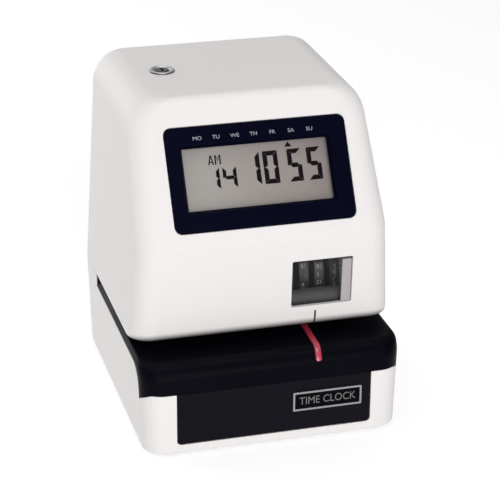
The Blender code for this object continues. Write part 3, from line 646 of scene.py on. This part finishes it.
def make_base_case():
    case = loft("base_shell", base_rings(SKIN, BASE_BOTTOM, BASE_TOP, 0.01)[::-1]
                + base_rings(0.0, BASE_BOTTOM, BASE_TOP, 0.8), closed=True)
    throat = slab("throat", rounded([
        (TABLE_END + GAP, FAR, 0), (-FAR, FAR, 0), (-FAR, NOSE_BOTTOM - GAP, 0),
        (FRONT + SKIN, NOSE_BOTTOM - GAP, 0), (CHEEK_FRONT, NOSE_DIP - 2 * GAP, 0),
        (CHEEK_FRONT, CHEEK_TOP, CHEEK_RADIUS), (TABLE_END + GAP, CHEEK_TOP, 0)]),
        -FAR, FAR, LYING)
    opening = rounded([(-PANEL_HALF, PANEL_BOTTOM, 2.6), (PANEL_HALF, PANEL_BOTTOM, 2.6),
                       (PANEL_HALF, SEAM + 1, 0), (-PANEL_HALF, SEAM + 1, 0)])
    low, high = box_of("power_inlet")
    inlet = mouth("inlet_hole", rectangle(-high.x - GAP, GAP - low.x, low.z - GAP, high.z + GAP,
                                          0.8), 12, 0.4, REAR)
    combine(case, throat, mouth("panel_hole", opening, 8, 0.01, FACE), inlet)
    soften(case, 0.45)
    piece(case, WHITE, "base", "white_abs", "base_case", angle=30)


# -------- table and front

def make_table():
    """Paper table: rolled nose, rounded side edges, resting on the white side walls."""
    levels = [(0.0, 0.0, NOSE_DIP - 1), (0.0, 0.0, TABLE_TOP - NOSE_RADIUS)]
    steps = 14
    for step in range(1, steps + 1):
        turn = math.pi / 2 * step / steps
        height = TABLE_TOP - NOSE_RADIUS * (1 - math.sin(turn))
        into = max(0.0, height - (TABLE_TOP - NOSE_SIDE_RADIUS))
        side = NOSE_SIDE_RADIUS - math.sqrt(max(0.0, NOSE_SIDE_RADIUS ** 2 - into ** 2))
        levels.append((NOSE_RADIUS * (1 - math.cos(turn)), side, height))
    table = loft("paper_table", [plan_ring(base_half(z) - side, FRONT + front, TABLE_END, z,
                                           rear=0.3) for front, side, z in levels])
    inner = loft("table_hollow", [plan_ring(base_half(z) - SKIN, FRONT + SKIN, FAR, z,
                                            FRONT_CORNER - SKIN, 1.0)
                                  for z in (20, TABLE_TOP - NOSE_RADIUS)]
                 + [plan_ring(base_half(TABLE_TOP) - SKIN, FRONT + SKIN + drop, FAR,
                              TABLE_TOP - SKIN - rise, FRONT_CORNER - SKIN, 1.0)
                    for drop, rise in rim_steps(NOSE_RADIUS - SKIN, 6)[1:]])
    walls = slab("cheek_room", rounded([
        (FAR, 0, 0), (FAR, CHEEK_TOP + GAP, 0),
        (CHEEK_FRONT - GAP, CHEEK_TOP + GAP, CHEEK_RADIUS), (CHEEK_FRONT - GAP, 0, 0)]),
        -FAR, FAR, LYING)
    below = slab("below_nose", [Vector(point) for point in (
        (-FAR, 0), (FAR, 0), (FAR, NOSE_DIP), (CHEEK_FRONT - GAP, NOSE_DIP),
        (FRONT + SKIN, NOSE_BOTTOM), (-FAR, NOSE_BOTTOM))], -FAR - 1, FAR + 1, LYING)
    hammer = mouth("hammer_hole", rectangle(*HAMMER_HOLE, 1.2), 8, 0.5,
                   facing_up(0, 0, TABLE_TOP))
    combine(table, inner, walls, below, hammer)
    half = 74.6
    end = slab("throat_end", rectangle(-half, half, TABLE_END - 2, TABLE_END, 0.4),
               TABLE_TOP - 1.5, BASE_TOP)
    combine(table, end, operation="UNION")
    soften(table, 0.3)
    piece(table, BLACK, "base", "black_abs", "table", angle=30)


def make_front_panel():
    edge = PANEL_HALF - GAP
    outline = rounded([(-edge, PANEL_BOTTOM + GAP, 2.3), (edge, PANEL_BOTTOM + GAP, 2.3),
                       (edge, NOSE_BOTTOM - GAP, 0.4), (-edge, NOSE_BOTTOM - GAP, 0.4)])
    piece(slab("lower_panel", outline, -SKIN, 0.0, FACE, rim=0.4), PANEL_BLACK, "base",
          "black_abs", "front_panel")


def make_name_plate():
    """Silver frame round a dark field with generic raised words."""
    low, high = box_of("name_plate")
    border, proud, sunk = 1.15, 1.1, 0.7  # the frame's width and height, the field's height
    outer = rectangle(low.x, high.x, low.z, high.z, 0.5)
    inner = rectangle(low.x + border, high.x - border, low.z + border, high.z - border, 0.3)
    piece(frame_ring("plate_frame", outer, inner, GAP, proud, FACE, rim=0.2), SILVER, "base",
          "plate_metal", "name_plate")
    field = slab("plate_field", moved_out(inner, -0.02), GAP, sunk, FACE)
    piece(field, BLACK, "base", "plate_metal")
    middle = at(FACE, (low.x + high.x) / 2, (low.z + high.z) / 2, sunk)
    words = lettering("plate_words", "TIME CLOCK", 6.6, 0.3, middle, squeeze=0.86)
    piece(words, PLATE_WORDS, "base", "plate_metal")


def strip(name, path, across, half_width, thick):
    """A strip with rounded shoulders laid along a path of (y, z) points, across giving its x."""
    section = ((-1.0, 0.0), (-0.95, 0.55), (-0.6, 0.95), (0.0, 1.0), (0.6, 0.95), (0.95, 0.55),
               (1.0, 0.0))
    rings = []
    for i, (y, z) in enumerate(path):
        before, after = path[max(i - 1, 0)], path[min(i + 1, len(path) - 1)]
        along = Vector((after[0] - before[0], after[1] - before[1])).normalized()
        out = Vector((along.y, -along.x))
        if out.dot(Vector((-1.0, 1.0))) < 0:
            out = -out
        share = i / (len(path) - 1)
        narrow = 1.0 - 0.35 * max(0.0, (abs(share - 0.5) - 0.46) / 0.04)
        rings.append([(across(share) + u * half_width * narrow, y + out.x * v * thick,
                       z + out.y * v * thick) for u, v in section])
    return loft(name, rings)


def arc(path, y, z, radius, start, sweep, steps):
    """Add an arc about (y, z), angles in degrees, to a path of (y, z) points."""
    for i in range(steps + 1):
        turn = math.radians(start + sweep * i / steps)
        path.append((y + radius * math.cos(turn), z + radius * math.sin(turn)))


def make_guide():
    """Red line from the print point over the table and its nose, drifting to the left."""
    lift, straight = 0.05, 38
    path = [(GUIDE_BACK - straight * i / 12, TABLE_TOP + lift) for i in range(12)]
    arc(path, FRONT + NOSE_RADIUS, TABLE_TOP - NOSE_RADIUS, NOSE_RADIUS + lift, 90, 65, 14)
    guide = strip("guide_line", path, lambda share: GUIDE_X - GUIDE_DRIFT * share, 1.75, 0.95)
    piece(guide, RED, "base", "guide_red", "guide_strip")


def make_index_mark():
    """Short dark line on the head's lip, over the guide."""
    front = head_lines(0)[0]
    proud = 0.01
    curl_z = SEAM + LIP_CURL
    path = [(value_at(front, MARK_TOP - i) - proud, MARK_TOP - i) for i in range(4)]
    arc(path, value_at(front, curl_z) + LIP_CURL, curl_z, LIP_CURL + proud, 180, 55, 7)
    piece(strip("index_mark", path, lambda share: MARK_X, 0.55, 0.08), PRINT_BLACK, "cover",
          "black_abs")


# -------- display

SEGMENTS_OF = {"0": "abcdef", "1": "bc", "4": "bcfg", "5": "acdfg"}
# Digit, left, low, width, height and stroke, on the slanted front
DIGITS = (("1", -6.7, 31.3, 8.5, 18.3, 2.6), ("0", 3.7, 31.3, 8.5, 18.3, 2.6),
          ("5", 17.7, 31.3, 8.0, 18.3, 2.6), ("5", 28.9, 31.3, 8.0, 18.3, 2.6),
          ("1", -29.2, 31.0, 7.6, 11.8, 2.0), ("4", -19.8, 31.0, 7.8, 11.8, 2.0))
ARROW = ((16.9, 51.0), (21.1, 51.0), (19.0, 53.9))
MORNING_LEFT, MORNING_LOW = -27.3, 44.6
MORNING_SHAPE = (3.4, 5.4, 0.78)  # width, height and stroke


def mirrored(shape, width):
    return [(width - x, y) for x, y in reversed(shape)]


def segment_shapes(w, h, t):
    """The seven mitred bars of a digit, by letter, from its width, height and stroke."""
    e = 0.06  # half the gap between bars
    m = h / 2
    top = [(e, h), (t + e, h - t), (w - t - e, h - t), (w - e, h)]
    upper = [(0, h - e), (0, m + e), (t / 2, m + e), (t, m + t / 2 + e), (t, h - t - e)]
    middle = [(t / 2 + e, m), (t + e, m - t / 2), (w - t - e, m - t / 2), (w - t / 2 - e, m),
              (w - t - e, m + t / 2), (t + e, m + t / 2)]
    shapes = {"a": top, "g": middle, "f": upper, "b": mirrored(upper, w)}
    for above, below in ("ad", "fe", "bc"):
        shapes[below] = [(x, h - y) for x, y in reversed(shapes[above])]
    return shapes


def morning_strokes(w, h, t):
    """The letters A and M as strokes that meet without overlapping."""
    apart = w + 0.5
    peak, dip, bar_low, bar_in = h - 1.6 * t, 0.35 * h, 0.22 * h, 0.9
    leg = [(0, 0), (t, 0), (w / 2, peak), (w / 2, h), (w / 2 - t / 2, h)]
    bar = [(bar_in, bar_low), (w - bar_in, bar_low), (w - bar_in - 0.15, bar_low + 0.8 * t),
           (bar_in + 0.15, bar_low + 0.8 * t)]
    post = [(0, 0), (t, 0), (t, h), (0, h)]
    slant = [(t, h), (t, h - 1.5 * t), (w / 2, dip), (w / 2, dip + t)]
    shapes = [leg, mirrored(leg, w), bar]
    for stroke in (post, slant):
        shapes += [[(x + apart, y) for x, y in half] for half in (stroke, mirrored(stroke, w))]
    return shapes


def make_lcd():
    """Time, day, morning mark and weekday arrow on the reflective glass."""
    glass, ink = -5.995, -5.93

    def bar(shape, left=0.0, low=0.0):
        outline = [Vector((left + x, low + y)) for x, y in shape]
        return slab("bar", outline, glass, ink, SLANT)

    bars = []
    for digit, left, low, width, height, stroke in DIGITS:
        shapes = segment_shapes(width, height, stroke)
        bars += [bar(shapes[letter], left, low) for letter in SEGMENTS_OF[digit]]
    bars.append(bar(ARROW))
    for stroke in morning_strokes(*MORNING_SHAPE):
        bars.append(bar(stroke, MORNING_LEFT, MORNING_LOW))
    piece(merge("lcd_segments", bars), SEGMENT, "base", "lcd_grey")


def make_display():
    outer = rectangle(-BEZEL_HALF, BEZEL_HALF, BEZEL_LOW, BEZEL_HIGH, BEZEL_CORNER, 7)
    inner = rectangle(SCREEN_LEFT, SCREEN_RIGHT, SCREEN_LOW, SCREEN_HIGH, 0.5, 7)
    bezel = frame_ring("display_frame", outer, inner, -SKIN, GAP, SLANT, rim=0.4, slope=1.4)
    piece(bezel, BEZEL_BLACK, "cover", "bezel_black", "display_bezel")
    half, lap = 45, 4  # the lens laps over the screen's edges
    lens = slab("display_sheet", rectangle(-half, half, SCREEN_LOW - lap, SCREEN_HIGH + lap, 1.5),
                -4.0, -2.8, SLANT, rim=0.2)
    piece(lens, CLEAR, "cover", "clear_lens", "display_lens")
    pitch, first, up = 10.63, -33.1, 58.9
    labels = []
    for i, day in enumerate(("MO", "TU", "WE", "TH", "FR", "SA", "SU")):
        place = at(SLANT, first + pitch * i, up, GAP + 0.005)
        labels.append(lettering("label", day, 3.0, 0.05, place, 1.1))
    piece(merge("weekday_labels", labels), PRINT_WHITE, "cover", "bezel_black")


def make_window():
    """Smoked pane and, at its right, a light filler that leaves a dark gap at its top."""
    low, high, top_gap = WINDOW_LOW - SEAM + GAP, WINDOW_HIGH - SEAM - GAP, 1.6
    pane = slab("smoked_pane", rectangle(WINDOW_LEFT + GAP, WINDOW_SPLIT - GAP / 2, low, high,
                                         0.3), -2.8, -1.6, LIP, rim=0.2)
    piece(pane, SMOKE, "cover", "smoked_window", "window_pane")
    filler = slab("window_filler", rectangle(WINDOW_SPLIT + GAP / 2, WINDOW_RIGHT - GAP, low,
                                             high - top_gap, 0.5), -2.8, -1.0, LIP, rim=0.3)
    piece(filler, LIGHT_GREY, "cover", "window_grey", "window_strip")


def make_lock():
    """Barrel and keyed core; heights are from the head's top."""
    top = facing_up(LOCK_X, LOCK_Y, HEAD_TOP)
    barrel = turned("lock_flange", [
        (4.3, -10), (6.2, -10), (6.2, 0.05), (7.2, 0.05), (7.3, 0.3), (7.1, 0.8), (6.6, 1.1),
        (5.9, 1.1), (5.3, 0.7), (4.6, 0.6), (4.3, 0.3)], top, 48)
    piece(barrel, CHROME, "cover", "lock_chrome", "lock_barrel")
    core = turned("lock_plug", [(1.6, -15.5), (1.6, -12), (4.0, -12), (4.0, 0.4), (3.7, 0.8)],
                  top, 40, closed=False)
    keyway = rounded([(-0.6, -2.8, 0.3), (0.6, -2.8, 0.3), (0.6, -0.4, 0), (1.0, 0.0, 0),
                      (0.6, 0.6, 0), (0.6, 2.8, 0.3), (-0.6, 2.8, 0.3), (-0.6, 1.0, 0),
                      (-0.9, 0.6, 0), (-0.6, 0.2, 0)], 3)
    combine(core, slab("keyway", keyway, -6, 4, top))
    piece(core, PLUG, "lock", "lock_chrome", "lock_core")


# -------- underside and inlet

def make_bottom_plate():
    low, high = box_of("bottom_plate")
    plate = slab("floor_plate", rounded([(low.x, low.y, 9), (high.x, low.y, 9),
                                         (high.x, high.y, 3), (low.x, high.y, 3)]),
                 low.z, high.z, rim=0.3, foot=0.3)
    half_long, half_wide, pitch = 14, 1, 6
    for row in (-30, 30):
        for i in range(9):
            y = -22 + pitch * i
            vent = rectangle(row - half_long, row + half_long, y - half_wide, y + half_wide, 0.98)
            combine(plate, slab("vent", vent, -5, 9))
    piece(plate, STEEL, "base", "zinc_steel", "bottom_plate")


def make_foot(corner):
    middle = middle_of("foot_" + corner)
    foot = turned("rubber_foot_" + corner, [
        (2.2, 1.0), (2.6, 0.5), (5.6, 0.4), (6.2, 0.0), (7.9, 0.0), (8.5, 0.5), (9.0, 1.6),
        (8.9, 2.0)], facing_up(middle.x, middle.y, 0), 40, closed=False)
    piece(foot, RUBBER, "base", "rubber", "foot_" + corner)


def make_screw(corner):
    """Round-headed screw with a cross recess."""
    middle = middle_of("case_screw_" + corner)
    place = facing_up(middle.x, middle.y, 0)
    screw = turned("screw_" + corner, [
        (1.4, 9.0), (1.5, 8.7), (1.5, 2.0), (3.2, 2.0), (3.2, 1.4), (2.6, 0.75), (1.8, 0.6)],
        place, 28, closed=False)
    tip, arm = 1.6, 0.35
    quarter = [Vector((tip, -arm)), Vector((tip, arm)), Vector((arm, arm))]
    cross = [Matrix.Rotation(math.pi / 2 * turn, 2) @ point for turn in range(4)
             for point in quarter]
    combine(screw, slab("cross", cross, 0, tip, place))
    piece(screw, STEEL, "base", "zinc_steel", "case_screw_" + corner)


def make_inlet():
    """Mains inlet in the back of the base: body, flared rim and three blades."""
    middle = middle_of("power_inlet")
    back = at(REAR, -middle.x, middle.z)
    outer = rounded([(-13.5, -10, 1), (13.5, -10, 1), (13.5, 7.5, 2.5), (9, 10, 2.5),
                     (-9, 10, 2.5), (-13.5, 7.5, 2.5)])
    socket = rounded([(-11, -7.5, 1), (11, -7.5, 1), (11, 4.5, 1), (8, 7.5, 1), (-8, 7.5, 1),
                      (-11, 4.5, 1)])
    body = slab("inlet_body", outer, -17, -0.2, back, rim=0.5)
    combine(body, slab("socket", socket, -14, 5, back))
    piece(body, MATT_BLACK, "base", "black_matt", "power_inlet")
    blades = [slab("blade", rectangle(x - 1, x + 1, z - 2, z + 2, 0.4), -14.5, -5, back, rim=0.4)
              for x, z in ((0, 3.2), (5, -1.5), (-5, -1.5))]
    piece(merge("inlet_blades", blades), PIN, "base", "black_matt")


# -------- inside

# Carried-over CAD nodes: look, width and segments of the rounded edges, nodes
CARRIED = (
    (STEEL, 0.3, 2, ("chassis_frame", "display_bracket", "hammer_bracket", "print_side_left",
                     "print_side_right", "lock_cam")),
    (SHAFT, 0.3, 2, ("wheel_shaft", "hammer_pin", "card_lever_pin", "solenoid_plunger")),
    (MATT_BLACK, 0.25, 2, ("head_floor", "paper_stop")),
    (BUTTON, 0.25, 2, ("ribbon_spool_front", "ribbon_spool_rear")),
    (TYPE_STEEL, 0.25, 2, ("type_wheel_month", "type_wheel_day", "type_wheel_hour",
                           "type_wheel_minute")),
    (BOARD, 0.15, 2, ("display_board", "main_board", "switch_board")),
    (NYLON, 0.15, 2, ("minute_gear", "card_lever")),
    (TAPE, 0.8, 3, ("transformer_coil", "solenoid_body")),
    (LCD, 0.3, 2, ("lcd_glass",)),
    (CORE, 0.3, 2, ("transformer_core",)),
    (DARK_STEEL, 0.4, 2, ("hammer_lever",)),
    (RUBBER, 0.6, 3, ("platen_pad",)),
    (MOTOR_CAN, 0.8, 3, ("stepper_motor",)),
    (BRASS, 0.12, 2, ("motor_pinion",)),
    (SLEEVE, 0.8, 3, ("backup_battery",)),
    (RIBBON, 0.08, 1, ("ink_ribbon",)),
    (BUTTON, 0.3, 3, ("set_button_1", "set_button_2", "set_button_3")))


def dress_carried_nodes():
    for look, width, segments, names in CARRIED:
        for name in names:
            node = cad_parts[name]
            node.data.materials.clear()
            node.data.materials.append(look.material)
            soften(node, width, segments, 40)


def make_type_faces(name, count, sides, first, size):
    """Raised mirrored numbers from first on, one on each printing flat of a type wheel."""
    node = "type_wheel_" + name
    hub = facing_up(middle_of(node).x, WHEEL_Y, WHEEL_Z)
    rim = [v.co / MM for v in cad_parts[node].data.vertices
           if math.hypot(v.co.y / MM - WHEEL_Y, v.co.z / MM - WHEEL_Z) > WHEEL_RADIUS - 0.05]
    corner = min(math.atan2(p.z - WHEEL_Z, p.y - WHEEL_Y) % (2 * math.pi / sides) for p in rim)
    flat = WHEEL_RADIUS * math.cos(math.pi / sides)
    faces = []
    for i in range(count):
        turn = corner + math.pi / sides + 2 * math.pi * i / count - math.pi / 2
        place = hub @ Matrix.Rotation(turn, 4, "X") @ facing_up(0, 0, flat - 0.02)
        faces.append(lettering("type", "%02d" % (i + first), size, 0.27, place, -0.9))
    piece(merge("type_faces_" + name, faces), TYPE_FACE, name + "_wheel", "type_steel")


BOARD_FACE = facing((0, 60, 0))


def block(name, x, z, half_x, half_z, low, high, corner=0.3, rim=0.0, steps=2, place=BOARD_FACE):
    """A block on a board, centred on (x, z)."""
    return slab(name, rectangle(x - half_x, x + half_x, z - half_z, z + half_z, corner, steps),
                low, high, place, rim)


def chip(x, z, width, height, pins):
    """A notched chip and its two rows of pins, lying on the main board."""
    body = block("chip", x, z, width / 2, height / 2, 0.5, 3.4, rim=0.4)
    combine(body, turned("notch", [(1.0, 2.9), (1.0, 5)], at(BOARD_FACE, x - width / 2 + 1.6, z),
                         16, closed=False))
    pitch, reach = 2.54, 0.9
    legs = [block("leg", x + (i - (pins - 1) / 2) * pitch, z + side * (height + reach) / 2, 0.3,
                  reach / 2, 0.05, 1.9, 0.1, 0.2, 1) for side in (-1, 1) for i in range(pins)]
    return body, legs


def make_chips():
    bodies, legs = [], []
    for layout in ((-18, 138, 38, 13, 14), (24, 142, 22, 7.5, 8), (24, 122, 22, 7.5, 8),
                   (-30, 112, 20, 7.5, 7)):
        body, pinned = chip(*layout)
        bodies.append(body)
        legs += pinned
    piece(merge("board_chips", bodies), CHIP, "base", "black_matt")
    piece(merge("board_pins", legs), PIN, "base", "shaft_steel")


def make_capacitors():
    cans, tops = [], []
    for x, z, r, tall in ((-36, 90, 5, 14), (-22, 90, 4, 11), (40, 100, 3, 8), (6, 100, 3, 8)):
        can = [(r - 0.4, 0.1), (r, 0.6), (r, tall - 0.8), (r - 0.3, tall - 0.3)]
        top = [(r - 0.6, tall - 0.28), (r - 0.5, tall), (r - 0.9, tall + 0.05)]
        for outline, kind in ((can, cans), (top, tops)):
            kind.append(turned("can", outline, at(BOARD_FACE, x, z), 24, closed=False))
    piece(merge("capacitor_sleeves", cans), SLEEVE, "base", "battery_sleeve")
    piece(merge("capacitor_tops", tops), PIN, "base", "shaft_steel")


def make_headers():
    """Open headers with a row of posts, where leads would plug in, and a crystal."""
    headers, posts, pitch = [], [], 2.5
    for x, z, count in ((-42, 154, 6), (38, 154, 8), (30, 76, 5)):
        half = count * pitch / 2
        outer = rectangle(x - half - 1, x + half + 1, z - 3, z + 3, 0.3, 2)
        inner = rectangle(x - half, x + half, z - 2, z + 2, 0.1, 2)
        headers.append(frame_ring("header", outer, inner, 0.05, 7, BOARD_FACE, 0.2))
        for i in range(count):
            posts.append(block("post", x + (i - (count - 1) / 2) * pitch, z, 0.32, 0.32, 0.05, 6,
                               0.05, 0.2, 1))
    crystal = block("crystal", -0.5, 120.3, 5.5, 2.3, 0.05, 4.2, 2.2, 0.6, 5)
    piece(merge("board_headers", headers), HEADER, "base", "black_matt")
    piece(merge("board_posts", posts + [crystal]), PIN, "base", "shaft_steel")


def make_switches():
    """Switch bodies on their board, under the set buttons."""
    switches = []
    for i in (1, 2, 3):
        middle = middle_of("set_button_%d" % i)
        switches.append(block("switch", middle.x, middle.y, 3.1, 3.1, 171.45, 171.75, 0.4, 0.1,
                              place=UPRIGHT))
    piece(merge("switch_bodies", switches), CHIP, "base", "black_matt")


# -------- stage

def make_floor():
    outline = rectangle(-FLOOR_REACH, FLOOR_REACH, -FLOOR_REACH, FLOOR_REACH, FLOOR_CORNER)
    floor = slab("studio_floor", outline, -FLOOR_THICK, 0)
    floor.data.materials.append(FLOOR.material)


def make_camera():
    turn, rise, roll = (math.radians(a) for a in (CAMERA_AZIMUTH, CAMERA_ELEVATION, CAMERA_ROLL))
    back = Vector((math.sin(turn) * math.cos(rise), -math.cos(turn) * math.cos(rise),
                   math.sin(rise)))
    camera = new_object("camera", bpy.data.cameras.new("camera"))
    camera.data.lens = CAMERA_LENS
    camera.data.clip_start, camera.data.clip_end = 0.05, 20
    camera.location = (Vector(CAMERA_TARGET) + back * CAMERA_DISTANCE) * MM
    level = (-back).to_track_quat("-Z", "Y").to_matrix().to_4x4()
    camera.rotation_euler = (level @ Matrix.Rotation(roll, 4, "Z")).to_euler()
    bpy.context.scene.camera = camera


def make_lamps():
    for name, place, size, power in LAMPS:
        light = bpy.data.lights.new(name, "AREA")
        light.shape = "DISK"
        light.size = size
        light.energy = power
        item = new_object(name, light)
        item.location = Vector(place) * MM
        ray = Vector(place) - Vector(LAMPS_AIM)
        item.rotation_euler = ray.to_track_quat("Z", "Y").to_euler()


def make_world():
    """White sky with dark flags at its sides, which make the rounded corners stand out."""
    world = bpy.data.worlds.new("studio")
    world.use_nodes = True
    tree = world.node_tree
    sky = tree.nodes["Background"]
    sky.inputs["Color"].default_value = (1.0, 1.0, 1.0, 1.0)
    ray = add_node(tree, "TexCoord").outputs["Generated"]
    split = add_node(tree, "SeparateXYZ", {"Vector": ray})
    aside = calculate(tree, "ABSOLUTE", calculate(tree, "ADD", split.outputs["X"], 0.12))
    flags = ramp(tree, aside, 0.3, 0.85, 0.62, 0.06)
    # A pale band round the horizon, behind the floor's far edge
    horizon = ramp(tree, split.outputs["Z"], 0.07, 0.14, 0.75, 0.0)
    tree.links.new(calculate(tree, "MAXIMUM", flags, horizon), sky.inputs["Strength"])
    bpy.context.scene.world = world
    bpy.context.scene.view_settings.view_transform = "Standard"


make_head_cover()
make_base_case()
make_table()
make_front_panel()
make_name_plate()
make_guide()
make_index_mark()
make_display()
make_window()
make_lcd()
make_lock()
make_bottom_plate()
for corner in ("front_left", "rear_left", "front_right", "rear_right"):
    make_foot(corner)
    make_screw(corner)
make_inlet()
dress_carried_nodes()
# Name, numbers, sides, first number and size; the month wheel prints from every second side
for wheel in (("month", 12, 24, 1, 4.2), ("day", 31, 31, 1, 3.3), ("hour", 24, 24, 0, 3.6),
              ("minute", 60, 60, 0, 2.2)):
    make_type_faces(*wheel)
make_chips()
make_capacitors()
make_headers()
make_switches()
make_floor()
make_camera()
make_lamps()
make_world()
